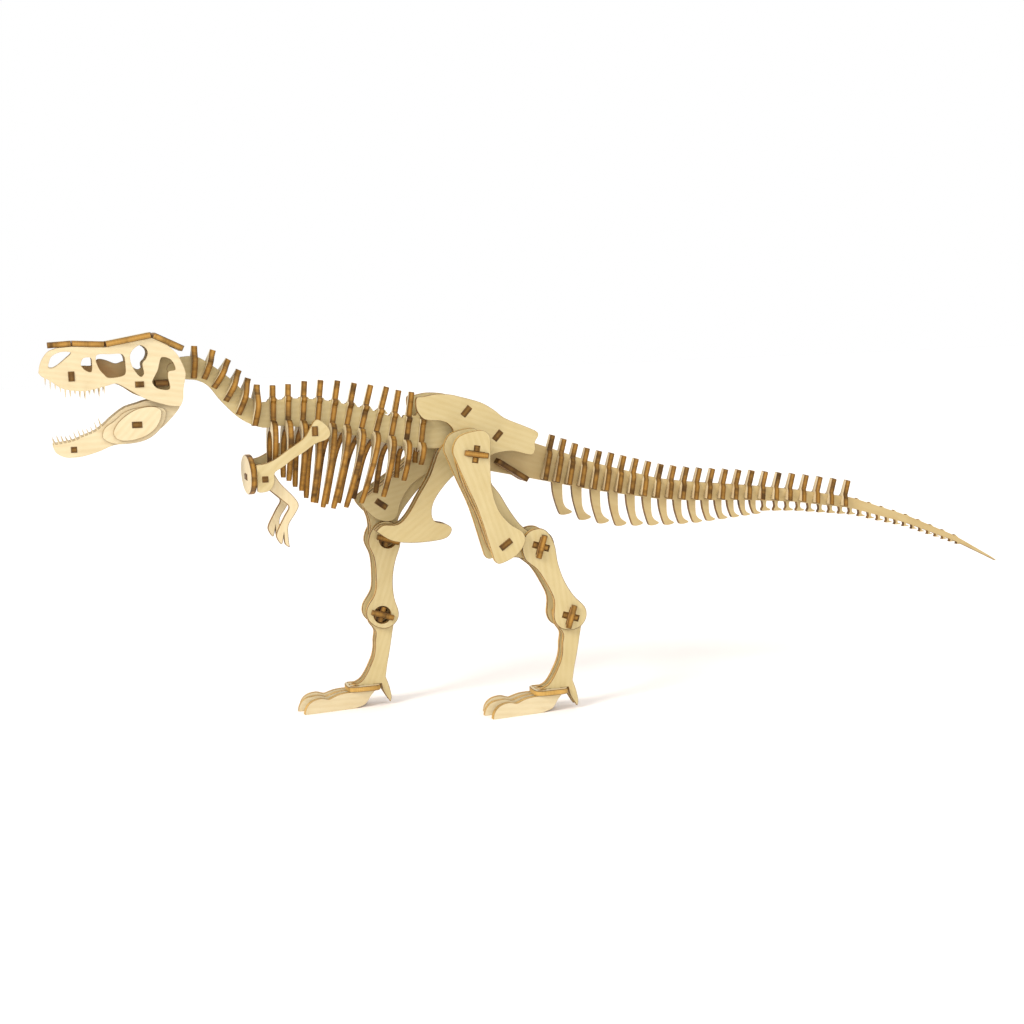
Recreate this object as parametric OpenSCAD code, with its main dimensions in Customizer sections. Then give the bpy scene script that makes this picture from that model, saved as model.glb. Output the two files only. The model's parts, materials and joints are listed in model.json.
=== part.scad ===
/* [Plywood] */
// Thickness of every plate
ply = 3; // [2.8:0.1:3.1]
// Clearance on each side of a plate in its slot
slot_gap = 0.05; // [0.03:0.01:0.1]

/* [Stance] */
// Height of the ankle axle above the ground
ankle_h = 52; // [50:1:54]
// Place of the hip axle along the body
hip_x = -52; // [-54:1:-50]
// Turn of the left thigh forward from the right one
left_thigh_turn = 72; // [70:1:74]

/* [Widths] */
// Distance of a leg's middle from the middle of the body
leg_y = 26; // [26:0.5:28]
// Distance of a toe's tab from the foot's middle
toe_pitch = 5.6; // [5.4:0.1:6]
// Turn of the outer toes away from the middle one
toe_splay = 9; // [6:1:10]
// Place of a skull side plate
skull_y = 12; // [12:0.5:14]

/* [Axles] */
// Width of an axle strip inside its hole
strip_w = 9; // [8:0.5:9]
// Width of an axle strip's head
head_w = 13; // [12:0.5:13]
// Radial clearance of an axle in a round hole
run_fit = 0.06; // [0.04:0.01:0.1]

/* [Hidden] */

cream = [0.95, 0.88, 0.69];
khaki = [0.87, 0.79, 0.54];
umber = [0.66, 0.46, 0.22];

slot_w = ply + 2 * slot_gap;
hole_r = sqrt(pow(strip_w / 2, 2) + pow(ply / 2, 2)) + run_fit;

// Shift along the body that puts the origin below the middle of the model
middle_shift = -3.5;

// Places across a leg, from the leg's middle
link_w = 3.25;
shin_w = 6.75;
thigh_w = 10.5;
ilium_y = 12;
pubis_y = 3.05;
scapula_y = 21;
arm_y = 17.5;
jaw_y = 7.5;

// Bones of the leg: knee from hip, and ankle from knee, on the right leg
knee = [35, -52];
ankle = [15.5, -39.5];
hip_z = ankle_h - knee[1] - ankle[1];
shin_len = norm(ankle);
left_knee = turned(knee, left_thigh_turn);
left_drop = hip_z + left_knee[1] - ankle_h;
left_shin_turn = atan(-ankle[0] / ankle[1]) + acos(left_drop / shin_len);

skull_at = [-273, 191];
jaw_at = [-268, 158];
// Upper and lower ties between the shoulder blades
shoulder_at = [-134.4, 159];
coracoid_at = [-161.5, 135.3];
chest_at = [-167.4, 136.5];
// Jigsaw knob that joins the spine to the skull's core
knob_at = [-204, 194];
// Turn of each leg's knee and ankle axles in its shin, and of the hip axles in the thigh
shin_axle_turn = [72, 100];
hip_axle_turn = -10;

// ---- outlines ----

// A point turned about the Y axis, top towards +X
function turned(p, a) = [p[0] * cos(a) + p[1] * sin(a), p[1] * cos(a) - p[0] * sin(a)];

function blend(a, b, c, d, t) =
    (2 * b + (c - a) * t + (2 * a - 5 * b + 4 * c - d) * t * t + (3 * b - a - 3 * c + d) * t * t * t) / 2;

// A smooth open curve through its points, without the last one
function run(p, n = 4) = [for (i = [0:len(p) - 2]) for (k = [0:n - 1])
    blend(p[max(i - 1, 0)], p[i], p[i + 1], p[min(i + 2, len(p) - 1)], k / n)];

// A smooth closed curve through its points
function ring(p, n = 4) = let (m = len(p)) [for (i = [0:m - 1]) for (k = [0:n - 1])
    blend(p[(i + m - 1) % m], p[i], p[(i + 1) % m], p[(i + 2) % m], k / n)];

// The right half of an outline, and its mirror image
function both_halves(p) = concat(p, [for (i = [len(p) - 1:-1:0]) [-p[i][0], p[i][1]]]);

// The same across the other axis
function front_and_back(p) = concat(p, [for (i = [len(p) - 1:-1:0]) [p[i][0], -p[i][1]]]);

// ---- placing ----

module placed() translate([middle_shift, 0, 0]) children();

// A plate along the body, its middle at y
module side_plate(y, t = ply) translate([0, y + t / 2, 0]) rotate([90, 0, 0]) linear_extrude(t) children();

// A plate across the body, its middle at x = 0
module cross_plate(t = ply) translate([-t / 2, 0, 0]) rotate([90, 0, 90]) linear_extrude(t) children();

// A strip across the body, seen end on as w by t, turned by a
module strip(at, w, t, a, y0, y1) translate([at[0], y0, at[1]]) rotate([0, -a, 0])
    translate([-w / 2, 0, -t / 2]) cube([w, y1 - y0, t]);

module slot(at, w, t, a = 0) translate(at) rotate(a) square([w, t], center = true);

// ---- head ----

// Each tie across the skull: x, z, width and height
skull_tie = [[17.5, 1.5, 3, 4.9], [51, -4, 4.4, 3], [62.5, -4, 7, 3]];

// Corners of the roof line
roof_line = [[6.5, 16], [18.5, 16.5], [35, 15.5], [58.5, 19.5], [73.5, 12]];

// Height of the upper lip
function lip_z(x) = lookup(x, [[3, 2], [6.5, 0], [11, -3.5], [14.5, -5], [20, -6], [25.5, -6], [34.5, -4]]);

module skull_outline() {
    polygon(concat(
        run([[1.5, 4], [2.5, 8.5], [4.5, 12], [7, 14.5], [11, 16]]),
        [[11, 16], roof_line[1], roof_line[2], roof_line[3]],
        run([[66, 15.6], [70.5, 11], [73, 6], [74.5, 0.5], [73, -7], [72.5, -12.5], [71, -16]]),
        run([[71, -16], [65.5, -15.5], [56, -12.5], [51, -10], [42.5, -4.5], [39, -3], [34.5, -4],
            [25.5, -6], [20, -6], [14.5, -5], [11, -3.5], [6.5, 0], [3, 2], [1.5, 4]])));
    for (i = [0:12]) {
        x = 4.6 + 2.4 * i;
        translate([x, lip_z(x)]) polygon([[-0.5, 1], [0.5, 1], [-0.2, -3.9 - 1.4 * sin(i * 105)]]);
    }
}

module skull_openings() {
    polygon(ring([[6.5, 6.5], [7, 9], [8.5, 12], [13, 14], [18, 13.5], [15, 10.5], [10.5, 7], [8, 6]]));
    polygon(ring([[22.5, 8], [24, 10.5], [27.5, 10.5], [28, 7.5], [27.5, 3.5], [25, 4], [23, 6]]));
    polygon(ring([[30, 9], [31, 12], [37, 12], [43.5, 11.5], [44.5, 5.5], [43.5, 1], [36, 0], [33.5, 2],
        [31.5, 4.5]]));
    polygon(ring([[52, 16], [55, 14.5], [56, 12], [55, 9], [53, 6.5], [53.5, 1.5], [51.5, 0], [48.5, 4],
        [47, 9], [48, 13]]));
    polygon(ring([[63, 9.5], [67.5, 8], [69.5, 3], [66, 2], [65.5, -1], [66, -7], [60, -6.5], [57.5, -3.5],
        [58, -1.5], [60.5, 3], [61.5, 6.5]]));
}

module skull_side(y) color(cream) translate([skull_at[0], 0, skull_at[1]]) side_plate(y) difference() {
    skull_outline();
    skull_openings();
    for (t = [skull_tie[0], skull_tie[1]]) slot([t[0], t[1]], t[2] + 2 * slot_gap, t[3] + 2 * slot_gap);
}

module skull_core() color(khaki) difference() {
    translate([skull_at[0], 0, skull_at[1]]) side_plate(0) polygon(concat(
        run([[9, 1], [17.5, 5.7], [23, 6.5], [28, 6.5], [31, 9.5], [35, 9], [40, 7], [44, 8], [47, 6],
            [51, 3.5], [54, 6], [56, 11], [60, 13], [66, 13.5], [70, 10]]),
        run([[70, 10], [72, 4], [71.5, -4], [68, -14], [62, -22], [54, -28]]),
        run([[54, -28], [49, -28.5], [44.5, -26.5], [44, -22]]),
        run([[44, -22], [52, -18], [56, -13], [48, -9], [38, -3], [24, -4], [14, -4], [9, 1]])));
    skull_ties_raw(slot_gap);
    jaw_rear_tie(slot_gap);
    knob(3 + slot_gap, ply + 1);
}

module knob(r, t) {
    translate([knob_at[0], t / 2, knob_at[1]]) rotate([90, 0, 0]) cylinder(r = r, h = t, $fn = 32);
    translate([knob_at[0], -t / 2, knob_at[1] - r / 2]) cube([5, t, r]);
}

// The last tie ends between the side plates, and the others go through them
module skull_ties_raw(g = 0) for (i = [0:2]) {
    t = skull_tie[i];
    across = 2 * skull_y + (i < 2 ? ply + 1 : -ply - 0.2);
    translate([skull_at[0] + t[0], 0, skull_at[1] + t[1]])
        cube([t[2] + 2 * g, across, t[3] + 2 * g], center = true);
}

module skull_ties() color(umber) skull_ties_raw();

// A roof plate on one stretch of the roof line, with its half widths and the gaps at its two ends
module roof(i, wa, wb, front, rear) {
    a = roof_line[i];
    d = roof_line[i + 1] - a;
    l = norm(d) - front - rear;
    color(cream) translate([skull_at[0] + a[0], 0, skull_at[1] + a[1]]) rotate([0, -atan2(d[1], d[0]), 0])
        translate([front, 0, 0.02]) linear_extrude(ply)
            polygon(front_and_back([[0, wa], [l / 2, (wa + wb) / 2 + 0.8], [l, wb]]));
}

// ---- jaw ----

jaw_slots = [[11.5, -3], [43.5, 8.5]];

// Height of the lower lip
function jaw_z(x) = lookup(x, [[1, 0], [6, 0.5], [11.5, 1.5], [16.5, 3.5], [22, 5.5], [27, 9]]);

module jaw_side(y) color(cream) translate([jaw_at[0], 0, jaw_at[1]]) side_plate(y) difference() {
    union() {
        polygon(concat(
            run([[1, 0], [6, 0.5], [11.5, 1.5], [16.5, 3.5], [22, 5.5], [27, 9], [31, 12.5], [37.5, 17],
                [44, 19], [50, 20.5], [58, 20], [66, 17]]),
            run([[66, 17], [65, 15], [61, 10.5], [56, 6], [50, 2.5], [43.5, -0.5], [37, -1], [30.5, -2],
                [24, -4.5], [16.5, -6.5], [11, -7], [6.5, -6.5], [2.5, -4], [1, 0]])));
        for (i = [0:11]) translate([2.4 + 2.15 * i, jaw_z(2.4 + 2.15 * i)])
            polygon([[0.5, -1], [-0.5, -1], [-1.4, 3.2 + 0.8 * sin(i * 75)]]);
    }
    slot(jaw_slots[0], slot_w, slot_w);
    slot(jaw_slots[1], 5, slot_w);
}

module cheek_inner() polygon(ring([[26, 3.5], [27.5, 7.5], [32.5, 11], [37.5, 15], [44, 17], [52, 17.5],
    [57.5, 16], [58.5, 13], [57, 8.5], [53.5, 4], [48, 0.5], [41, -1], [32.5, -1], [27.5, 1]]));

module cheek_outer() polygon(ring([[31.5, 4.5], [33, 8.5], [37.5, 13], [44, 16.5], [51, 17.5],
    [55.5, 16], [56, 13], [54, 8], [50, 4], [44.5, 1.5], [38, 0.5], [33.5, 1.5]]));

module cheek(y) color(cream) translate([jaw_at[0], 0, jaw_at[1]]) side_plate(y) difference() {
    children();
    slot(jaw_slots[1], 5, slot_w);
}

module jaw_cheeks() for (s = [-1, 1]) {
    cheek(s * (jaw_y + ply + 0.02)) cheek_inner();
    cheek(s * (jaw_y + 2 * ply + 0.04)) cheek_outer();
}

module jaw_rear_tie(g = 0) translate([jaw_at[0] + jaw_slots[1][0], 0, jaw_at[1] + jaw_slots[1][1]])
    cube([4.9 + 2 * g, 2 * (jaw_y + 2.5 * ply) + 1, ply + 2 * g], center = true);

module jaw_ties() color(umber) {
    jaw_rear_tie();
    translate([jaw_at[0] + jaw_slots[0][0], 0, jaw_at[1] + jaw_slots[0][1]])
        cube([ply, 2 * jaw_y + ply + 0.6, ply], center = true);
}

// ---- spine, neck and ribs ----

// Height of the middle of the back
function back_z(x) = lookup(x, [[-160, 168], [-145, 168.5], [-129, 167], [-113, 164], [-97, 159.5],
    [-81, 154.5], [-70, 152]]);

spine_top = [[-165.5, 177.5], [-159, 174.5], [-148, 175.5], [-139, 175.5], [-125, 174], [-109, 170],
    [-97, 166.5], [-85, 162.5], [-72, 164.5], [-60, 169], [-50, 171], [-45, 167]];

// Each neck vertebra: x, z, lean and height
neck = [[-193, 196.5, 4, 16], [-185.7, 195, 20, 15], [-179.5, 190, 30, 16], [-174, 183.5, 26, 17],
    [-168.5, 177.5, 18, 19], [-162, 172.5, 6, 21]];

module at_neck(i) translate([neck[i - 1][0], 0, neck[i - 1][1]]) rotate([0, neck[i - 1][2], 0]) children();

// The slot that a plate leaning like a vertebra takes in the spine
module neck_slot(z0, z1) translate([-slot_w / 2, -5, z0]) cube([slot_w, 10, z1 - z0]);

rib_half = [15, 17, 18.5, 19, 19, 19, 19, 18.5, 17.5, 15.5, 12];
rib_drop = [30, 36, 41, 47, 49, 49, 47, 43, 37, 26, 16];
rib_spike = [15, 15, 17, 18, 19, 19, 20, 21, 21, 22, 8];
rib_lean = [3, 4, 6, 8, 11, 14, 16, 17, 13, 10, 8];

function rib_x(i) = -161.3 + 8 * i;

module at_rib(i) translate([rib_x(i), 0, back_z(rib_x(i))]) rotate([0, rib_lean[i - 1], 0]) children();

module spine() color(khaki) {
    spine_plate();
    knob(3, ply);
}

module spine_plate() difference() {
    side_plate(0) union() {
        polygon(concat(
            run([[-200, 200], [-192, 200], [-184.5, 195.5], [-174, 187], [-165.5, 177.5]]),
            run(spine_top),
            [[-45, 167]],
            run([[-45, 153], [-52, 147], [-65, 145], [-84, 147], [-97, 150.5], [-120, 157], [-148, 161.5],
                [-159, 161], [-170, 166], [-180, 176], [-186, 184], [-192, 187.5], [-200, 189],
                    [-200.3, 194.5], [-200, 200]])));
        for (i = [1:11]) translate([rib_x(i) + 7 * sin(rib_lean[i - 1]), lookup(rib_x(i), spine_top)])
            polygon([[-4, -1.5], [-2.4, 0.9], [2.4, 0.9], [4, -1.5]]);
    }
    for (i = [1:6]) at_neck(i) neck_slot(0, 30);
    for (i = [1:11]) at_rib(i) neck_slot(0, 40);
    pelvis_tie_raw(0, slot_gap);
    translate([shoulder_at[0], 0, shoulder_at[1] - 5]) cube([slot_w, 10, 15], center = true);
}

module neck_vertebrae() color(cream) for (i = [1:6]) at_neck(i) cross_plate() difference() {
    h = neck[i - 1][3] / 2;
    w = 7 + i;
    polygon(both_halves(concat(
        [[0, h + 1]],
        run([[1.5, h + 1], [3.5, h - 2], [w, 2], [w - 1.5, -3], [3.5, -h + 1], [1.6, -h]]),
        [[1.6, -h]])));
    translate([-slot_w / 2, -h - 2]) square([slot_w, h + 2]);
}

// A spike above the spine, a waist beside it, and the two halves of the rib from a ledge below
module rib(i) {
    w = rib_half[i - 1];
    d = rib_drop[i - 1];
    color(cream) at_rib(i) cross_plate() difference() {
        polygon(both_halves(concat(
            [[1.2, rib_spike[i - 1]], [1.7, 9], [4.9, 8.3], [4.9, 6.8], [3.7, 5.5], [3.7, -3.8]],
            run([[8, -3.8], [0.86 * w, -0.12 * d - 3], [w, -0.45 * d], [0.88 * w, -0.75 * d],
                [0.64 * w, -d]]),
            run([[0.64 * w, -d], [0.74 * w, -0.74 * d], [w - 4.5, -0.44 * d - 2],
                [0.5 * w, -0.2 * d - 5], [3, -9.5]]),
            [[3, -9.5], [1.6, -9.5]])));
        translate([-slot_w / 2, -12]) square([slot_w, 12]);
    }
}

// ---- shoulder ----

module scapula(y) color(khaki) translate([shoulder_at[0], 0, shoulder_at[1]]) side_plate(y) difference() {
    polygon(concat(
        run([[-0.5, 5], [2, 6], [6.5, 2.5], [8, -1.5], [6, -4.5], [0, -6.5], [-6, -10.5], [-11.5, -13.5],
            [-18, -18], [-22, -20.5], [-22.5, -25.5], [-25, -29.5], [-29.5, -30.5], [-31.3, -30]]),
        run([[-31.3, -30], [-31.3, -16]]),
        run([[-31.3, -16], [-26, -15.5], [-20.5, -13], [-14.5, -9], [-6, -3.5], [-2.5, 1.5], [-0.5, 5]])));
    square([slot_w, 5], center = true);
    slot(coracoid_at - shoulder_at, slot_w, slot_w);
}

module arm(y) color(cream) translate([coracoid_at[0], 0, coracoid_at[1]]) side_plate(y) difference() {
    polygon(concat(
        run([[-3.5, -3], [-4, 2], [0, 4.8], [4.5, 3], [8.3, -3], [15, -10.5], [17.2, -15], [15, -19.5],
            [11.4, -25], [11, -31], [11.4, -37]]),
        run([[11.4, -37], [9, -35], [8.6, -30.5]]),
        run([[8.6, -30.5], [7.3, -35], [5, -32], [5, -28.5], [9.4, -20.3], [12, -15.7], [9.4, -12.5],
            [2.6, -6.5], [-3.5, -3]])));
    slot([0, 0], slot_w, slot_w);
}

module chest_plate() color(cream) translate([chest_at[0], 0, chest_at[1]]) cross_plate() difference() {
    polygon([for (a = [0:-10:-350]) [25 * cos(a), 10.5 * sin(a)]]);
    slot([0, coracoid_at[1] - chest_at[1]], 10 + 2 * slot_gap, slot_w);
}

// The lower tie is a flat T, with its tongue through the chest plate
module shoulder_ties() color(umber) {
    translate([shoulder_at[0], 0, shoulder_at[1]]) cube([ply, 2 * scapula_y + ply + 1, 4.9], center = true);
    reach = scapula_y + ply / 2 + 0.5;
    tongue = chest_at[0] - coracoid_at[0] - ply / 2 - 0.5;
    translate([coracoid_at[0], 0, coracoid_at[1] - ply / 2]) linear_extrude(ply) polygon([[ply / 2, reach],
        [ply / 2, -reach], [-ply / 2, -reach], [-ply / 2, -5], [tongue, -5], [tongue, 5], [-ply / 2, 5],
        [-ply / 2, reach]]);
}

// ---- pelvis ----

// Each pelvis tie: x, z, width, slope and half length
pelvis_tie = [[-50.5, 165, 6, 48, 13.7], [-33.5, 151, 6, 48, 13.7], [-24, 131, 20, -34, 9]];

module pelvis_tie_raw(i, g = 0) {
    p = pelvis_tie[i];
    strip([p[0], p[1]], p[2] + 2 * g, ply + 2 * g, p[3], -p[4] - g, p[4] + g);
}

module pelvis_ties() color(umber) {
    for (i = [0:1]) pelvis_tie_raw(i);
    difference() {
        pelvis_tie_raw(2);
        translate([pelvis_tie[2][0], 0, pelvis_tie[2][1]]) rotate([0, -pelvis_tie[2][3], 0])
            translate([0, -slot_w / 2, -5]) cube([20, slot_w, 10]);
    }
}

module ilium(y) color(khaki) difference() {
    translate([hip_x, 0, hip_z]) side_plate(y) difference() {
        polygon(ring([[-26, 25.5], [-25.5, 30], [-21.5, 30.5], [-15, 31.5], [-7.5, 31], [-1.5, 29.5],
            [9.5, 26], [17, 21.5], [22.5, 17], [32.5, 12.5], [40, 9], [41.5, 6.5], [39.5, 3], [39.5, -1],
            [37, -4], [27.5, -1.5], [21, -1.5], [14.5, -3], [8, -8], [0, -10], [-6, -8], [-8, 0],
            [-6, 10.5], [-8.5, 15], [-12.5, 17], [-17.5, 17.5], [-22, 18.5], [-25, 22]]));
        round_hole();
    }
    for (i = [0:1]) pelvis_tie_raw(i, slot_gap);
}

module pubis(y) color(khaki) translate([hip_x, 0, hip_z]) side_plate(y) difference() {
    translate([1, -1.1]) polygon(concat(
        run([[0, 9], [6, 6.5], [8, 0], [5.5, -7], [-5, -12], [-14, -21], [-18.5, -29], [-18, -36.5],
            [-11, -39], [-8, -42], [-11, -46.5], [-20, -48], [-32, -48], [-42, -46], [-50, -40.5]]),
        run([[-50, -40.5], [-46, -37.5], [-38, -37.5], [-32, -32.5], [-25, -21.5], [-19, -12],
            [-13.5, 1], [-8, 6.5], [0, 9]])));
    round_hole();
}

// ---- tail ----

// Height of the middle of the tail, and how far its plate reaches above and below that
function tail_z(x) = lookup(x, [[-40, 143], [-20, 138], [0, 132], [24, 124], [63, 114.5], [80, 112],
    [116, 108.5], [146, 104.8], [183, 98.4], [218, 87.2], [251, 73.5], [273, 61.7], [278.2, 58.7]]);
function tail_up(x) = lookup(x, [[-40, 12], [0, 9.5], [63, 6.5], [116, 5.5], [183, 4.3], [218, 3],
    [251, 1.9], [278.2, 0.4]]);
function tail_low(x) = lookup(x, [[-40, 12], [0, 9.5], [24, 7.4], [63, 5.3], [116, 3.2], [146, 2.3],
    [183, 2], [218, 1.7], [251, 1.3], [278.2, 0.4]]);

tail_tip = 278.2;
blades = 14;
stubs = 22;
vertebrae = 24;
vertebra_lean = 16;

// Place of each blade's and each stub's front edge, and of each vertebra
function blade_x(i) = 0.4 + 11.6 * i - 0.19 * i * i;
function stub_x(i) = 126.8 + 7.4 * i - 0.068 * i * i;
function vertebra_x(i) = -3.2 + 6.7 * i + 0.05 * i * i;

// A blade with its foot turned to the rear
module blade(i) translate([blade_x(i), tail_z(blade_x(i)) - tail_low(blade_x(i))]) {
    l = lookup(i, [[0, 18.6], [1, 19.5], [3, 19.5], [6, 15.2], [13, 8.3]]);
    u = 1 - 0.45 * i / blades;
    polygon(concat(
        run([[5.6 * u, 2], [5.5 * u, -0.5 * l], [7 * u, -0.76 * l], [10.6 * u, -0.9 * l]]),
        run([[10.6 * u, -0.9 * l], [10.4 * u, -0.95 * l], [8 * u, -0.99 * l], [5 * u, -l], [3.5 * u, -0.95 * l],
            [1.5 * u, -0.65 * l], [0, -0.3 * l], [-0.5, 2]]),
        [[-0.5, 2]]));
}

// A short leg with a foot on both sides
module stub(i) translate([stub_x(i), tail_z(stub_x(i)) - tail_low(stub_x(i))]) {
    l = lookup(i, [[0, 6], [8, 4], [14, 2.5], [22, 1.2]]);
    u = 1 - 0.5 * i / stubs;
    polygon(concat(
        run([[2.6 * u, 1], [1.9 * u, -0.4 * l], [2.6 * u, -0.7 * l], [4.6 * u, -0.85 * l]]),
        [[4.6 * u, -0.85 * l], [4.2 * u, -l], [-0.6 * u, -l]],
        run([[-0.6 * u, -0.8 * l], [0.2 * u, -0.5 * l], [-0.6 * u, 1]]),
        [[-0.6 * u, 1]]));
}

module at_vertebra(i) {
    x = vertebra_x(i);
    translate([x, 0, tail_z(x)]) rotate([0, vertebra_lean, 0]) children();
}

module tail() color(khaki) difference() {
    side_plate(0) union() {
        polygon(concat(
            [[-43.5, 151], [-38, 157], [-30, 156.5]],
            [for (x = [-20:6:tail_tip]) [x, tail_z(x) + tail_up(x)]],
            [[tail_tip, tail_z(tail_tip) + 0.3], [tail_tip, tail_z(tail_tip) - 0.3]],
            [for (x = [tail_tip - 6:-6:-20]) [x, tail_z(x) - tail_low(x)]],
            [[-36, 131], [-43.5, 137]]));
        for (i = [0:blades - 1]) blade(i);
        for (i = [0:stubs - 1]) stub(i);
        for (x = [187:8:251]) translate([x, tail_z(x) + tail_up(x)])
            polygon([[-2, -0.6], [0, 0.7], [2, -1.2]]);
    }
    for (i = [0:vertebrae - 1]) at_vertebra(i) neck_slot(0, 20);
    pelvis_tie_raw(1, slot_gap);
    translate([pelvis_tie[2][0], 0, pelvis_tie[2][1]]) rotate([0, -pelvis_tie[2][3], 0])
        translate([-10.1, -5, -slot_w / 2]) cube([10.1, 10, slot_w]);
}

module tail_vertebra(i) {
    x = vertebra_x(i);
    w = lookup(x, [[0, 8], [180, 6.5]]);
    top = lookup(x, [[0, 16.5], [17, 14.8], [30, 15.4], [63, 14.5], [183, 14]]);
    low = tail_low(x) - 0.8;
    neck_z = top - 8.2;
    color(cream) at_vertebra(i) cross_plate() difference() {
        polygon(both_halves([[1.7, top], [2.1, neck_z], [0.6 * w, neck_z - 2], [w, -low], [1.6, -low]]));
        translate([-slot_w / 2, -low - 5]) square([slot_w, low + 5]);
    }
}

// ---- legs ----

// A leg's own frame: s is -1 on the right and 1 on the left
module thigh_frame(s) translate([hip_x, 0, hip_z]) rotate([0, s > 0 ? left_thigh_turn : 0, 0]) children();

module shin_frame(s) {
    k = s > 0 ? left_knee : knee;
    translate([hip_x + k[0], 0, hip_z + k[1]]) rotate([0, s > 0 ? left_shin_turn : 0, 0]) children();
}

module foot_frame(s) {
    k = s > 0 ? left_knee + turned(ankle, left_shin_turn) : knee + ankle;
    translate([hip_x + k[0], 0, ankle_h]) children();
}

module cross_cut(turn) for (a = [0, 90]) rotate(a + turn)
    square([strip_w + 2 * slot_gap, slot_w], center = true);

module round_hole() circle(r = hole_r, $fn = 48);

// Two interlocked strips through a leg from y0 outwards to y1, one with a head outside and the other
// with a head inside, if there is room for it. A plain end stays a little inside the last plate
module axle(s, y0, y1, turn, inner_head = true) {
    head = 1.8;
    gap = 0.3;
    recess = 0.6;
    mid = (y0 + y1) / 2;
    module strip_one(outer) {
        start = outer || !inner_head ? y0 + recess : y0 - head - gap;
        end = outer ? y1 + head + gap : y1 - recess;
        difference() {
            union() {
                translate([-strip_w / 2, start, -ply / 2]) cube([strip_w, end - start, ply]);
                if (outer || inner_head)
                    translate([-head_w / 2, outer ? y1 + gap : start, -ply / 2]) cube([head_w, head, ply]);
            }
            translate([-slot_w / 2, outer ? start - 1 : mid - slot_gap, -ply])
                cube([slot_w, (outer ? mid - start : end - mid) + 1 + slot_gap, 2 * ply]);
        }
    }
    color(umber) mirror([0, s < 0 ? 1 : 0, 0]) rotate([0, -turn, 0]) {
        strip_one(true);
        rotate([0, 90, 0]) strip_one(false);
    }
}

thigh_slot = [14.5, -49];
thigh_tie_w = 7;

module thigh_tie_slot() slot(thigh_slot, thigh_tie_w + 2 * slot_gap, slot_w, 35);

module thigh_plate(s, w) color(khaki) thigh_frame(s) side_plate(s * (leg_y + w)) difference() {
    polygon(ring([[2, 12.5], [6.5, 11], [8, 6.5], [7.5, -8.5], [8, -19.5], [11, -30], [17, -38], [24, -43],
        [25, -48.5], [20.5, -55], [12, -59], [8.5, -58], [6.5, -52], [0.5, -31], [-5.5, -16.5], [-10.5, -4],
        [-12.5, 3], [-8.5, 10]]));
    cross_cut(hip_axle_turn);
    thigh_tie_slot();
}

module femur_links(s) {
    color(khaki) for (w = [-link_w, link_w]) thigh_frame(s) side_plate(s * (leg_y + w)) difference() {
        polygon(ring([[4, 9], [8, 2], [8.5, -8], [9.5, -16], [11.5, -19.3], [14.2, -23], [19, -31.5], [25, -40],
            [31, -44.5], [36, -46], [41, -46], [43.5, -52], [40, -58], [32, -60], [22, -57.5], [14, -57],
            [8, -52], [2, -34], [-6, -14], [-8, 4]]));
        cross_cut(hip_axle_turn);
        translate(knee) round_hole();
        thigh_tie_slot();
    }
    reach = thigh_w + ply / 2 + 0.5;
    color(umber) thigh_frame(s)
        strip(thigh_slot, thigh_tie_w, ply, 35, s * leg_y - reach, s * leg_y + reach);
}

function shin_turn(s) = shin_axle_turn[s > 0 ? 1 : 0];

// The outer shin plate is keyed to both axles, and the inner one has round holes
module shin_hole(s, keyed) {
    if (keyed)
        cross_cut(shin_turn(s));
    else
        round_hole();
}

module shin_plates(s) color(khaki) for (w = [-shin_w, shin_w]) shin_frame(s) side_plate(s * (leg_y + w))
    difference() {
    polygon(ring([[-10.5, 1], [-8, 7], [-3, 9.7], [3, 8.5], [7.5, 1], [9.3, -10], [12.5, -19.5],
        [17.5, -28], [23.5, -34.5], [24.5, -40], [21.5, -45], [15.5, -47], [9, -45], [6, -39.5],
        [6.5, -30], [2.7, -21], [-2.5, -12.5], [-9, -6.5]]));
    for (p = [[0, 0], ankle]) translate(p) shin_hole(s, w > 0);
}

// Height of the spreader's lower face from the ankle
spreader_z = -42.6;
// Place of the toes' tabs along the foot
toe_tab = -17;

// Height of the metatarsals' flat lower edge, on the spreader
heel = spreader_z + ply;

module metatarsals(s) color(khaki) for (w = [-link_w, link_w]) foot_frame(s) side_plate(s * (leg_y + w))
    difference() {
    polygon(concat(
        run([[-7, 2], [-3, 7], [4, 7], [7.5, 2], [7, -5], [5.7, -12], [4, -21], [2.2, -29], [1, -36]]),
        run([[1, -36], [2.8, -41.5], [3.9, -47.5], [3.2, -50.5]]),
        run([[3.2, -50.5], [1.6, -48], [-0.6, -44], [-1.5, heel]]),
        [[-1.5, heel], [-6, heel], [-6, spreader_z + 0.1], [-12, spreader_z + 0.1], [-12, heel]],
        run([[-17.5, heel], [-13, -37.6], [-10.3, -34.5], [-8, -30.5], [-5.4, -25], [-4.2, -20], [-4, -15.5],
            [-3.4, -10], [-6.3, -5], [-7, 2]])));
    round_hole();
}

module foot_spreader(s) color(cream) foot_frame(s) translate([0, s * leg_y, spreader_z])
    linear_extrude(ply - 0.02)
    difference() {
        polygon(ring([[-21.3, 0], [-20.5, 6.8], [-17, 8.7], [-10, 8.8], [-4.5, 8.2], [-2.4, 5.5], [-2.2, 0],
            [-2.4, -5.5], [-4.5, -8.2], [-10, -8.8], [-17, -8.7], [-20.5, -6.8]]));
        for (w = [-link_w, link_w]) translate([-9, w]) square([6.1, slot_w], center = true);
        for (w = [-1:1]) translate([toe_tab, w * toe_pitch]) rotate(-w * toe_splay)
            square([4.1, slot_w], center = true);
    }

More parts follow.
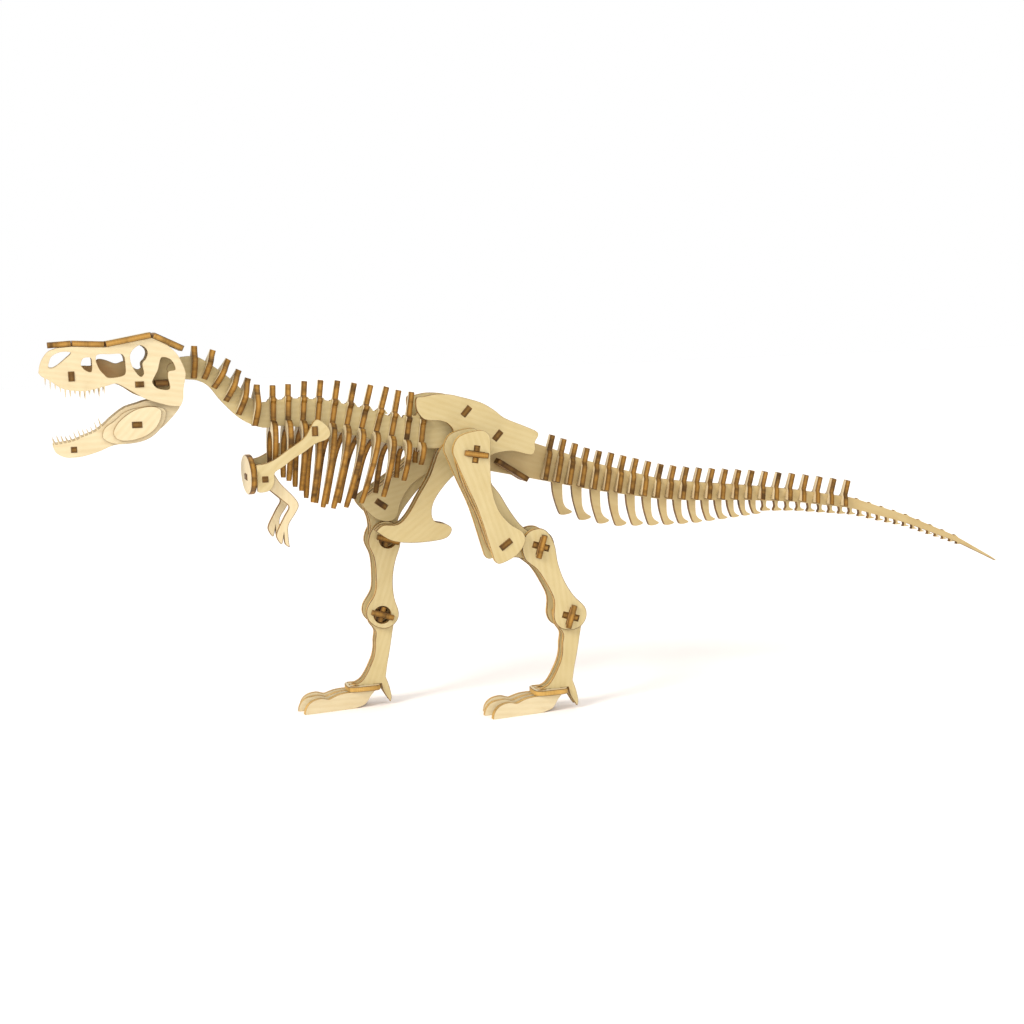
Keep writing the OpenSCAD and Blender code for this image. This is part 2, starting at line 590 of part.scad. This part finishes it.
// Each toe is drawn from its tab, about which the outer ones are splayed
module toes(s) color(cream) for (w = [-1:1]) foot_frame(s)
    translate([toe_tab, s * leg_y + w * toe_pitch, 0]) rotate([0, 0, -w * toe_splay]) side_plate(0) {
    tip = w == 0 ? -31.5 : -29.8;
    top = spreader_z - 0.02;
    polygon(concat(
        run([[tip, -52], [tip + 0.5, -49.4], [tip + 2, -46.9], [tip + 5, -44.8], [-20, -44],
            [-16, -45], [-13.3, -44.2], [-10, -43.2], [-5.5, top]]),
        [[-5.5, top], [-2, top], [-2, top + ply], [2, top + ply], [2, top]],
        run([[12, top], [9, -45.6], [6.8, -48.7], [4.5, -50.6], [-1, -52]]),
        [[-1, -52]]));
}

module hip_axle(s) thigh_frame(s) axle(s, pubis_y - ply / 2, leg_y + thigh_w + ply / 2, hip_axle_turn, false);

module shin_axle(s) axle(s, leg_y - shin_w - ply / 2, leg_y + shin_w + ply / 2, shin_turn(s));

module knee_axle(s) shin_frame(s) shin_axle(s);

module ankle_axle(s) shin_frame(s) translate([ankle[0], 0, ankle[1]]) shin_axle(s);

// ---- nodes ----

placed() skull_side(-skull_y);  // skull_right
placed() skull_side(skull_y);  // skull_left
placed() skull_core();
placed() roof(0, 10, 13, 0.1, 0.05);  // roof_snout
placed() roof(1, 13, 13.5, 0.1, 0.3);  // roof_nasal
placed() roof(2, 14, 15, 0.6, 0.05);  // roof_brow
placed() roof(3, 15, 13, 0.1, 0.1);  // roof_crown
placed() skull_ties();
placed() jaw_side(-jaw_y);  // jaw_right
placed() jaw_side(jaw_y);  // jaw_left
placed() jaw_cheeks();
placed() jaw_ties();
placed() spine();
placed() neck_vertebrae();
for (i = [1:11]) placed() rib(i);
placed() scapula(-scapula_y);  // scapula_right
placed() scapula(scapula_y);  // scapula_left
placed() arm(-arm_y);  // arm_right
placed() arm(arm_y);  // arm_left
placed() chest_plate();
placed() shoulder_ties();
placed() ilium(-ilium_y);  // ilium_right
placed() ilium(ilium_y);  // ilium_left
placed() pelvis_ties();
placed() pubis(-pubis_y);  // pubis_right
placed() pubis(pubis_y);  // pubis_left
placed() tail();
placed() for (i = [0:11]) tail_vertebra(i);  // tail_vertebrae_front
placed() for (i = [12:vertebrae - 1]) tail_vertebra(i);  // tail_vertebrae_rear
for (s = [-1, 1]) {
    side = s < 0 ? "right" : "left";
    placed() thigh_plate(s, thigh_w);
    placed() thigh_plate(s, -thigh_w);
    placed() femur_links(s);
    placed() shin_plates(s);
    placed() metatarsals(s);
    placed() foot_spreader(s);
    placed() toes(s);
    placed() hip_axle(s);
    placed() knee_axle(s);
    placed() ankle_axle(s);
}
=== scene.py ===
import json
import math
import random

import bpy
import numpy as np
from mathutils import Matrix, Vector

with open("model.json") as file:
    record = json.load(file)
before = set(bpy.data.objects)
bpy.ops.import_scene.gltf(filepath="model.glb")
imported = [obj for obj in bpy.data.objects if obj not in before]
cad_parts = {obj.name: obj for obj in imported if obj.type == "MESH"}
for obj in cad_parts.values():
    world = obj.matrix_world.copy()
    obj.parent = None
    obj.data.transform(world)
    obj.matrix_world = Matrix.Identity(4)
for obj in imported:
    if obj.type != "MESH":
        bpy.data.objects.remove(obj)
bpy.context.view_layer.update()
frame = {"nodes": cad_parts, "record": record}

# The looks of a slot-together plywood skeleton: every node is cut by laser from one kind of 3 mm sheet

MM = 0.001

# ---- camera: beside the head, on the model's right, turned towards the tail ----

CAMERA_AT = Vector((-267.5, -892, 214)) * MM
CAMERA_YAW = math.radians(15.1)
CAMERA_PITCH = math.radians(6.6)
CAMERA_ROLL = math.radians(-2.0)
CAMERA_LENS = 58.8
CAMERA_NEAR = 10 * MM

# ---- floor and light ----

FLOOR_HALF = 6.0
FLOOR_COLOUR = (0.92, 0.865, 0.82)
FLOOR_ROUGHNESS = 0.8
LIT_POINT = Vector((0, 0, 0.12))
SUN_FROM = Vector((-1.8, -0.9, 1.4))
SUN_STRENGTH = 2.4
SUN_COLOUR = (1.0, 0.98, 0.95)
SUN_ANGLE = math.radians(22)
PANEL_AT = Vector((-0.3, -2.2, 0.5))
PANEL_POWER = 24
PANEL_SIZE = 1.5
ROOM_STRENGTH = 1.0

# ---- plywood: colours ----

# The cut edge from burnt to clean, its pale core, and the smoke on the faces, which also paints shade over
# the faces of the ties and of the plate inside the skull
CHAR = (0.042, 0.018, 0.002)
AMBER = (0.25, 0.11, 0.011)
TAN = (0.66, 0.42, 0.125)
CORE = (0.46, 0.25, 0.055)
SCORCH_AND_SHADE = (0.3, 0.17, 0.06)

# Each finish of the record: the pale and the darker colour of its veneer
VENEERS = {
    "ply_pale": ((0.575, 0.485, 0.305), (0.495, 0.39, 0.22)),
    "ply_frame": ((0.475, 0.385, 0.2), (0.405, 0.31, 0.135)),
    # The ties' dark veneer is painted shade: they are of the same pale plywood, coloured as they look in the
    # shade between the plates
    "ply_ties": ((0.3, 0.16, 0.05), (0.2, 0.095, 0.028)),
}

# Nodes whose veneer is darker (above 0) or paler (below 0) than the others'; the skull core's darker step is
# painted shade inside the skull
SHADE_STEPS = {"tail": 2.0, "spine": 1.0, "skull_core": 2.0, "scapula_right": -1.5, "scapula_left": -1.5}

# ---- plywood: how brown the cut edges are ----

# By the first word of a node's name: 0 is a clean cut and 1 a brown one
# Beside the laser's real burn, the spread is painted light and shade: the legs' and feet's low values make
# their lit edges paler, the ribs', neck's and tail's higher ones darken theirs in shade
BURN_AND_SHADING_BY_NODE = {
    "rib": 1.05, "tail": 1.4, "neck": 0.95, "roof": 0.75, "chest": 1.0, "skull": 0.85, "jaw": 0.6, "arm": 0.6,
    "scapula": 0.6, "pubis": 0.6, "thigh": 0.2, "femur": 0.25, "shin": 0.25, "metatarsals": 0.4, "toes": 0.3,
    "foot": 0.3,
}
OTHER_BURN = 0.9
# The ties' burn value: partly the real char of their cut ends, partly painted shade that smokes their faces
TIE_BURN_AND_SHADE = 1.9
# The burn value of the plate inside the skull, at its front and at its rear: painted shade inside the skull,
# darkest at the front
SKULL_CORE_PAINTED_SHADE = (2.8, 1.0)
# How far the burn of a node's solids may lie from the node's own
BURN_SPREAD = 0.12
# From the first burn value to the second, smoke spreads over the faces and char over the edges: painted shade
# on the ties and the plate inside the skull, beside the real char of the ties' cut ends
HEAVY_BURN_AND_SHADE = (1.1, 2.0)

# ---- plywood: the sheet ----

# Material slots of every node
FACE, EDGE, RIM = 0, 1, 2

# Vertices closer than this are at one place
SAME_PLACE = 0.001 * MM
# No sheet lies along this direction, so it tells a sheet's two sides apart
FRONT_SIDE = np.array([0.3, 1.0, 0.2])
# A face belongs to the sheet's surface where the cosine between the two normals is larger
FACE_COSINE = 0.96
# The grain lies within this angle, in radians, of a solid's longest direction
GRAIN_TURN = 0.35
# Solids are cut from places up to this far apart on the sheet, in metres
SHEET_SPREAD = 1.0

# Pattern scales per metre: along the grain, across it and through the sheet
FIBRES = (150, 2200, 60)
BANDS = (5, 80, 5)
CLOUDS = (60, 130, 40)
PORES = (420, 5200, 60)
SMOKE_EDGE = (500, 500, 60)
BEAM_MARKS = (1500, 1500, 60)
EDGE_PATCHES = (110, 110, 40)
RIM_PATCHES = (160, 160, 160)
PLY_WOBBLE = (90, 90, 90)

# Distances from the sheet's middle at which the pale core and the burnt rim start to show, and show fully
CORE_LAYER = (0.75 * MM, 0.35 * MM)
RIM_LAYER = (0.95 * MM, 1.4 * MM)
# The glue lines' distance from the sheet's middle, and the distances from them at which they show likewise
GLUE_LINE = 0.62 * MM
GLUE_FADE = (0.14 * MM, 0.03 * MM)
# How far the layers waver in all
WOBBLE = 0.5 * MM

# How far smoke reaches over the faces from the cut
SMOKE_REACH = 0.8 * MM

# ---- plywood: how the patterns show ----

# Most of a noise's values lie in this range
NOISE_RANGE = (0.3, 0.7)
# The growth bands', the fibres' and the clouds' shares in the veneer's figure, and the range of their sum
BANDS_SHARE, FIBRES_SHARE, CLOUDS_SHARE = 0.13, 0.32, 0.6
FIGURE_RANGE = (0.38, 0.72)
# The noise values between which a pore and a charred patch set in
PORE_RANGE = (0.66, 0.76)
PATCH_RANGE = (0.46, 0.66)
# How strongly each layer covers the ones below it: on the faces, then on the cut edges
FIGURE_COVER, TONE_COVER, PORE_COVER, SMOKE_COVER = 0.85, 0.7, 0.25, 0.5
BEAM_COVER, CORE_COVER, GLUE_COVER, HEAVY_BURN_AND_SHADE_COVER = 0.4, 0.4, 0.4, 0.65
# The same for the charred patches and the burnt rim, at burn 0 and at burn 1
PATCH_COVER = (0.15, 0.9)
RIM_COVER = (0.35, 0.85)

FACE_ROUGHNESS = (0.5, 0.68)
EDGE_ROUGHNESS = (0.45, 0.7)
RIM_ROUGHNESS = (0.55, 0.75)
FACE_SPECULAR = 0.3
EDGE_SPECULAR = 0.18
RIM_SPECULAR = 0.5
# Depth of the relief
FACE_RELIEF = 0.04 * MM
EDGE_RELIEF = 0.08 * MM

# ---- plywood: modifiers ----

# The burnt line along the edges sharper than its angle
RIM_WIDTH = 0.3 * MM
RIM_ANGLE = math.radians(50)
# Curved cuts are shaded smooth where their steps turn by less
SMOOTH_ANGLE = math.radians(36)

# The first node's random seed. Each node after it takes the next
FIRST_SEED = 100


def link_to_scene(name, data):
    obj = bpy.data.objects.new(name, data)
    bpy.context.scene.collection.objects.link(obj)
    return obj


def rgba(colour):
    return (*colour, 1.0)


def darker(colour, factor):
    return tuple(c * factor for c in colour)


# ---- camera, floor and light ----


def add_camera():
    data = bpy.data.cameras.new("camera")
    data.lens = CAMERA_LENS
    data.clip_start = CAMERA_NEAR
    camera = link_to_scene("camera", data)
    turn = (
        Matrix.Rotation(-CAMERA_YAW, 4, "Z")
        @ Matrix.Rotation(math.pi / 2 - CAMERA_PITCH, 4, "X")
        @ Matrix.Rotation(CAMERA_ROLL, 4, "Z")
    )
    camera.matrix_world = Matrix.Translation(CAMERA_AT) @ turn
    bpy.context.scene.camera = camera


def add_floor():
    mesh = bpy.data.meshes.new("floor")
    h = FLOOR_HALF
    mesh.from_pydata([(-h, -h, 0), (h, -h, 0), (h, h, 0), (-h, h, 0)], [], [(0, 1, 2, 3)])
    floor = link_to_scene("floor", mesh)
    material = bpy.data.materials.new("floor_white")
    material.use_nodes = True
    shader = material.node_tree.nodes["Principled BSDF"]
    shader.inputs["Base Color"].default_value = rgba(FLOOR_COLOUR)
    shader.inputs["Roughness"].default_value = FLOOR_ROUGHNESS
    mesh.materials.append(material)


def add_light(kind, name, at, energy):
    """A light at a place, aimed at the model."""
    data = bpy.data.lights.new(name, kind)
    data.energy = energy
    light = link_to_scene(name, data)
    light.location = at
    light.rotation_euler = (LIT_POINT - at).to_track_quat("-Z", "Y").to_euler()
    return data


def add_lights():
    """A broad soft sun from the left, a weak panel in front, and a white room all round."""
    sun = add_light("SUN", "key_light", SUN_FROM, SUN_STRENGTH)
    sun.color = SUN_COLOUR
    sun.angle = SUN_ANGLE
    panel = add_light("AREA", "fill_light", PANEL_AT, PANEL_POWER)
    panel.size = PANEL_SIZE
    world = bpy.data.worlds.new("studio")
    world.use_nodes = True
    background = world.node_tree.nodes["Background"]
    background.inputs["Color"].default_value = (1, 1, 1, 1)
    background.inputs["Strength"].default_value = ROOM_STRENGTH
    bpy.context.scene.world = world
    bpy.context.scene.view_settings.view_transform = "Standard"


# ---- each solid's place on the sheet ----


def solids_of_vertices(mesh, co):
    """A number for each vertex that tells its solid. Vertices at one place count as one."""
    _, place = np.unique(np.round(co / SAME_PLACE).astype(np.int64), axis=0, return_inverse=True)
    place = place.ravel()
    parent = list(range(place.max() + 1))

    def root(i):
        while parent[i] != i:
            parent[i] = parent[parent[i]]
            i = parent[i]
        return i

    for polygon in mesh.polygons:
        first = root(place[polygon.vertices[0]])
        for v in polygon.vertices[1:]:
            parent[root(place[v])] = first
    return np.array([root(i) for i in range(len(parent))])[place]


def sheet_normal(normals, areas):
    """The direction across the sheet: the one that most of a solid's surface faces."""
    turned = normals * np.where(normals @ FRONT_SIDE < 0, -1, 1)[:, None]
    keys, index = np.unique(np.round(turned, 2), axis=0, return_inverse=True)
    totals = np.bincount(index.ravel(), weights=areas, minlength=len(keys))
    best = turned[index.ravel() == totals.argmax()].mean(axis=0)
    return best / np.linalg.norm(best)


def place_on_sheet(points, across, rng):
    """Coordinates along the grain, across it and through the sheet, where 0 is the sheet's middle."""
    centred = points - points.mean(axis=0)
    flat = centred - np.outer(centred @ across, across)
    _, _, axes = np.linalg.svd(flat, full_matrices=False)
    angle = rng.uniform(-GRAIN_TURN, GRAIN_TURN)
    along = axes[0] * math.cos(angle) + np.cross(across, axes[0]) * math.sin(angle)
    side = np.cross(across, along)
    depth = points @ across
    shift = rng.uniform(0, SHEET_SPREAD), rng.uniform(0, SHEET_SPREAD)
    return np.column_stack(
        (points @ along + shift[0], points @ side + shift[1], depth - (depth.min() + depth.max()) / 2)
    )


def burn_and_shading_of_node(name):
    return TIE_BURN_AND_SHADE if name.endswith("ties") else BURN_AND_SHADING_BY_NODE.get(name.split("_")[0], OTHER_BURN)


def burn_and_shading_of_solid(name, points, across, rng):
    """One burn value for a whole solid, or one for each point of the plate inside the skull, where it is
    painted shade, darkest at the front.
    """
    # The femur links' own tie stands across them; like the other ties, its burn value is partly painted shade
    if name.startswith("femur_links") and abs(across[1]) < 0.5:
        return TIE_BURN_AND_SHADE
    burn = burn_and_shading_of_node(name) + rng.uniform(-BURN_SPREAD, BURN_SPREAD)
    # The plate inside the skull gets painted shade, darker towards its front
    if name == "skull_core":
        x = points[:, 0]
        return np.interp(x, (x.min(), x.max()), SKULL_CORE_PAINTED_SHADE)
    return burn


def mark_plywood(obj, rng):
    """Gives each solid of a node its own place on the sheet, as attributes, and its faces their materials."""
    mesh = obj.data
    co = np.empty(len(mesh.vertices) * 3)
    mesh.vertices.foreach_get("co", co)
    co = co.reshape(-1, 3)
    normals = np.array([p.normal[:] for p in mesh.polygons])
    areas = np.array([p.area for p in mesh.polygons])
    solid_of_vertex = solids_of_vertices(mesh, co)
    solid_of_polygon = np.array([solid_of_vertex[p.vertices[0]] for p in mesh.polygons])
    sheet = np.zeros_like(co)
    tone = np.zeros(len(co))
    burn = np.zeros(len(co))
    kind = np.full(len(mesh.polygons), EDGE)
    for solid in np.unique(solid_of_polygon):
        own_polygons = solid_of_polygon == solid
        own = solid_of_vertex == solid
        across = sheet_normal(normals[own_polygons], areas[own_polygons])
        sheet[own] = place_on_sheet(co[own], across, rng)
        # A random tone for each solid, plus its node's step; the skull core's step is painted shade
        tone[own] = rng.uniform(-1, 1) + SHADE_STEPS.get(obj.name, 0.0)
        # Its burn value: real burn, with painted light and shade mixed in
        burn[own] = burn_and_shading_of_solid(obj.name, co[own], across, rng)
        kind[own_polygons & (np.abs(normals @ across) > FACE_COSINE)] = FACE
    vector = mesh.attributes.new("sheet", "FLOAT_VECTOR", "POINT")
    vector.data.foreach_set("vector", sheet.ravel().astype(np.float32))
    for name, values in (("tone", tone), ("burn", burn)):
        value = mesh.attributes.new(name, "FLOAT", "POINT")
        value.data.foreach_set("value", values.astype(np.float32))
    mesh.polygons.foreach_set("material_index", kind.astype(np.int32))


# ---- plywood materials ----


class Nodes:
    """Short names for building a material's nodes."""

    # The Mix node's colour sockets
    MIX_A, MIX_B, MIX_RESULT = 6, 7, 2

    def __init__(self, name):
        self.material = bpy.data.materials.new(name)
        self.material.use_nodes = True
        self.tree = self.material.node_tree
        self.shader = self.tree.nodes["Principled BSDF"]

    def link(self, source, target):
        """Joins a socket to the target, or sets the target to a plain value."""
        if isinstance(source, bpy.types.NodeSocket):
            self.tree.links.new(source, target)
        else:
            target.default_value = source

    def attribute(self, name, output):
        node = self.tree.nodes.new("ShaderNodeAttribute")
        node.attribute_name = name
        return node.outputs[output]

    def scaled(self, vector, scale):
        node = self.tree.nodes.new("ShaderNodeMapping")
        self.link(vector, node.inputs["Vector"])
        node.inputs["Scale"].default_value = scale
        return node.outputs["Vector"]

    def noise(self, vector, scale, detail=3.0, roughness=0.55):
        node = self.tree.nodes.new("ShaderNodeTexNoise")
        self.link(self.scaled(vector, scale), node.inputs["Vector"])
        node.inputs["Scale"].default_value = 1.0
        node.inputs["Detail"].default_value = detail
        node.inputs["Roughness"].default_value = roughness
        return node.outputs["Fac"]

    def waves(self, vector, scale):
        """Wavy bands along the grain."""
        node = self.tree.nodes.new("ShaderNodeTexWave")
        node.bands_direction = "Y"
        self.link(self.scaled(vector, scale), node.inputs["Vector"])
        node.inputs["Scale"].default_value = 1.3
        node.inputs["Distortion"].default_value = 4.0
        node.inputs["Detail"].default_value = 2.0
        node.inputs["Detail Scale"].default_value = 0.6
        return node.outputs["Fac"]

    def math(self, operation, a, b=0.0):
        node = self.tree.nodes.new("ShaderNodeMath")
        node.operation = operation
        self.link(a, node.inputs[0])
        self.link(b, node.inputs[1])
        return node.outputs[0]

    def remap(self, value, low, high, to_low=0.0, to_high=1.0):
        """Takes low to to_low and high to to_high, and stays at those ends beyond them."""
        node = self.tree.nodes.new("ShaderNodeMapRange")
        self.link(value, node.inputs["Value"])
        for name, number in (("From Min", low), ("From Max", high), ("To Min", to_low), ("To Max", to_high)):
            node.inputs[name].default_value = number
        return node.outputs["Result"]

    def mix(self, factor, a, b):
        node = self.tree.nodes.new("ShaderNodeMix")
        node.data_type = "RGBA"
        self.link(factor, node.inputs["Factor"])
        self.link(a, node.inputs[self.MIX_A])
        self.link(b, node.inputs[self.MIX_B])
        return node.outputs[self.MIX_RESULT]

    def rim_mask(self, radius):
        """1 at a sharp edge, falling to 0 at the radius from it."""
        rounded = self.tree.nodes.new("ShaderNodeBevel")
        rounded.samples = 6
        rounded.inputs["Radius"].default_value = radius
        geometry = self.tree.nodes.new("ShaderNodeNewGeometry")
        dot = self.tree.nodes.new("ShaderNodeVectorMath")
        dot.operation = "DOT_PRODUCT"
        self.link(rounded.outputs["Normal"], dot.inputs[0])
        self.link(geometry.outputs["True Normal"], dot.inputs[1])
        return self.remap(dot.outputs["Value"], 1.0, 0.8)

    def bump(self, height, strength, distance):
        node = self.tree.nodes.new("ShaderNodeBump")
        node.inputs["Strength"].default_value = strength
        node.inputs["Distance"].default_value = distance
        self.link(height, node.inputs["Height"])
        self.link(node.outputs["Normal"], self.shader.inputs["Normal"])

    def finish(self, colour, roughness, specular):
        self.link(colour, self.shader.inputs["Base Color"])
        self.link(roughness, self.shader.inputs["Roughness"])
        self.shader.inputs["Specular IOR Level"].default_value = specular
        return self.material


def veneer(name, pale, dark):
    """A sanded veneer: fine fibres, faint growth bands, soft clouds, short pores, and smoke at the cut. A
    heavy burn value adds smoke clouds over the whole face, which are painted shade.
    """
    n = Nodes(name)
    sheet = n.attribute("sheet", "Vector")
    tone = n.attribute("tone", "Fac")
    burn = n.attribute("burn", "Fac")
    fibres = n.noise(sheet, FIBRES, detail=4, roughness=0.6)
    clouds = n.noise(sheet, CLOUDS, roughness=0.5)
    pores = n.remap(n.noise(sheet, PORES, detail=1, roughness=0.4), *PORE_RANGE)
    bands = n.waves(sheet, BANDS)
    figure = n.math("ADD", n.math("MULTIPLY", bands, BANDS_SHARE), n.math("MULTIPLY", fibres, FIBRES_SHARE))
    figure = n.math("ADD", figure, n.math("MULTIPLY", clouds, CLOUDS_SHARE))
    colour = n.mix(n.remap(figure, *FIGURE_RANGE, to_high=FIGURE_COVER), rgba(pale), rgba(dark))
    # Darker by the tone value, which for the skull core is painted shade
    colour = n.mix(n.remap(tone, -1, 3, to_high=TONE_COVER), colour, rgba(dark))
    colour = n.mix(n.math("MULTIPLY", pores, PORE_COVER), colour, rgba(darker(dark, 0.6)))
    ragged = n.remap(n.noise(sheet, SMOKE_EDGE, detail=2), *NOISE_RANGE, to_low=0.35)
    smoke = n.math("MULTIPLY", n.rim_mask(SMOKE_REACH), ragged)
    colour = n.mix(n.math("MULTIPLY", smoke, SMOKE_COVER), colour, rgba(SCORCH_AND_SHADE))
    # Smoke clouds over the whole face with a heavy burn value: painted shade on the ties and the plate inside
    # the skull
    cloudy = n.remap(clouds, 0.35, 0.65, to_low=0.6)
    colour = n.mix(n.math("MULTIPLY", n.remap(burn, *HEAVY_BURN_AND_SHADE), cloudy), colour, rgba(SCORCH_AND_SHADE))
    n.bump(n.math("SUBTRACT", fibres, n.math("MULTIPLY", pores, 0.8)), 0.3, FACE_RELIEF)
    return n.finish(colour, n.remap(fibres, *NOISE_RANGE, *FACE_ROUGHNESS), FACE_SPECULAR)


def laser_cut():
    """A laser-cut edge, browned by its burn value, which also carries painted light and shade: charred
    patches, a paler core between glue lines, beam marks.
    """
    n = Nodes("laser_cut_edge")
    sheet = n.attribute("sheet", "Vector")
    burn = n.attribute("burn", "Fac")
    split = n.tree.nodes.new("ShaderNodeSeparateXYZ")
    n.link(sheet, split.inputs[0])
    wobble = n.math("MULTIPLY", n.math("SUBTRACT", n.noise(sheet, PLY_WOBBLE), 0.5), WOBBLE)
    depth = n.math("ABSOLUTE", n.math("ADD", split.outputs["Z"], wobble))
    beam = n.noise(sheet, BEAM_MARKS, roughness=0.6)
    core = n.remap(depth, *CORE_LAYER)
    glue = n.remap(n.math("ABSOLUTE", n.math("SUBTRACT", depth, GLUE_LINE)), *GLUE_FADE)
    patches = n.remap(n.noise(sheet, EDGE_PATCHES, roughness=0.6), *PATCH_RANGE)
    patches = n.math("MULTIPLY", patches, n.remap(burn, 0, 1, *PATCH_COVER))
    rim = n.math("MULTIPLY", n.remap(depth, *RIM_LAYER), n.remap(burn, 0, 1, *RIM_COVER))
    # Tan to amber by the burn value: partly real burn, partly painted light on the legs' edges and painted
    # shade on the darker ones
    colour = n.mix(n.remap(burn, 0, 1), rgba(TAN), rgba(AMBER))
    colour = n.mix(n.remap(beam, 0.3, 0.75, to_high=BEAM_COVER), colour, rgba(darker(AMBER, 0.5)))
    colour = n.mix(n.math("MULTIPLY", core, CORE_COVER), colour, rgba(CORE))
    colour = n.mix(n.math("MULTIPLY", glue, GLUE_COVER), colour, rgba(darker(AMBER, 0.4)))
    colour = n.mix(patches, colour, rgba(CHAR))
    # Char over the whole edge with a heavy burn value: painted shade on the plate inside the skull, partly
    # real char on the ties' cut ends
    colour = n.mix(n.remap(burn, *HEAVY_BURN_AND_SHADE, to_high=HEAVY_BURN_AND_SHADE_COVER), colour, rgba(CHAR))
    colour = n.mix(rim, colour, rgba(CHAR))
    n.bump(n.math("SUBTRACT", beam, n.math("MULTIPLY", glue, 0.4)), 0.5, EDGE_RELIEF)
    return n.finish(colour, n.remap(beam, *NOISE_RANGE, *EDGE_ROUGHNESS), EDGE_SPECULAR)


def burnt_rim():
    """The thin burnt line where a face meets the cut."""
    n = Nodes("burnt_rim")
    patches = n.noise(n.attribute("sheet", "Vector"), RIM_PATCHES)
    colour = n.mix(n.remap(patches, 0.4, 0.75), rgba(CHAR), rgba(AMBER))
    return n.finish(colour, n.remap(patches, *NOISE_RANGE, *RIM_ROUGHNESS), RIM_SPECULAR)


# ---- finishing the plates ----


def smooth_by_angle_group():
    """Geometry nodes that shade a mesh smooth, except over edges sharper than SMOOTH_ANGLE."""
    group = bpy.data.node_groups.new("smooth_curved_edges", "GeometryNodeTree")
    group.interface.new_socket("Geometry", in_out="INPUT", socket_type="NodeSocketGeometry")
    group.interface.new_socket("Geometry", in_out="OUTPUT", socket_type="NodeSocketGeometry")
    start = group.nodes.new("NodeGroupInput")
    end = group.nodes.new("NodeGroupOutput")
    faces = group.nodes.new("GeometryNodeSetShadeSmooth")
    edges = group.nodes.new("GeometryNodeSetShadeSmooth")
    edges.domain = "EDGE"
    edges.inputs["Shade Smooth"].default_value = False
    angle = group.nodes.new("GeometryNodeInputMeshEdgeAngle")
    sharp = group.nodes.new("FunctionNodeCompare")
    sharp.inputs["B"].default_value = SMOOTH_ANGLE
    group.links.new(angle.outputs["Unsigned Angle"], sharp.inputs["A"])
    group.links.new(start.outputs[0], faces.inputs["Geometry"])
    group.links.new(faces.outputs["Geometry"], edges.inputs["Geometry"])
    group.links.new(sharp.outputs["Result"], edges.inputs["Selection"])
    group.links.new(edges.outputs["Geometry"], end.inputs[0])
    return group


def add_modifiers(obj, smooth_group):
    """Welds the solids' vertices, cuts the burnt rim as a narrow chamfer, and smooths the curved cuts."""
    weld = obj.modifiers.new("weld", "WELD")
    weld.merge_threshold = 2 * SAME_PLACE
    bevel = obj.modifiers.new("rim", "BEVEL")
    bevel.width = RIM_WIDTH
    bevel.segments = 1
    bevel.limit_method = "ANGLE"
    bevel.angle_limit = RIM_ANGLE
    bevel.use_clamp_overlap = True
    bevel.material = RIM
    smooth = obj.modifiers.new("smooth", "NODES")
    smooth.node_group = smooth_group


def finish_plates():
    """Every node is plywood: its place on the sheet, its three materials, its burnt rim and smooth cuts."""
    slots = {row["node"]: row["material_slot"] for row in frame["record"]["subparts"]}
    edge = laser_cut()
    rim = burnt_rim()
    faces = {slot: veneer("veneer_" + slot, *colours) for slot, colours in VENEERS.items()}
    smooth_group = smooth_by_angle_group()
    for index, (name, obj) in enumerate(sorted(frame["nodes"].items())):
        obj.data.materials.clear()
        for material in (faces[slots[name]], edge, rim):
            obj.data.materials.append(material)
        mark_plywood(obj, random.Random(FIRST_SEED + index))
        add_modifiers(obj, smooth_group)


add_camera()
add_floor()
add_lights()
finish_plates()
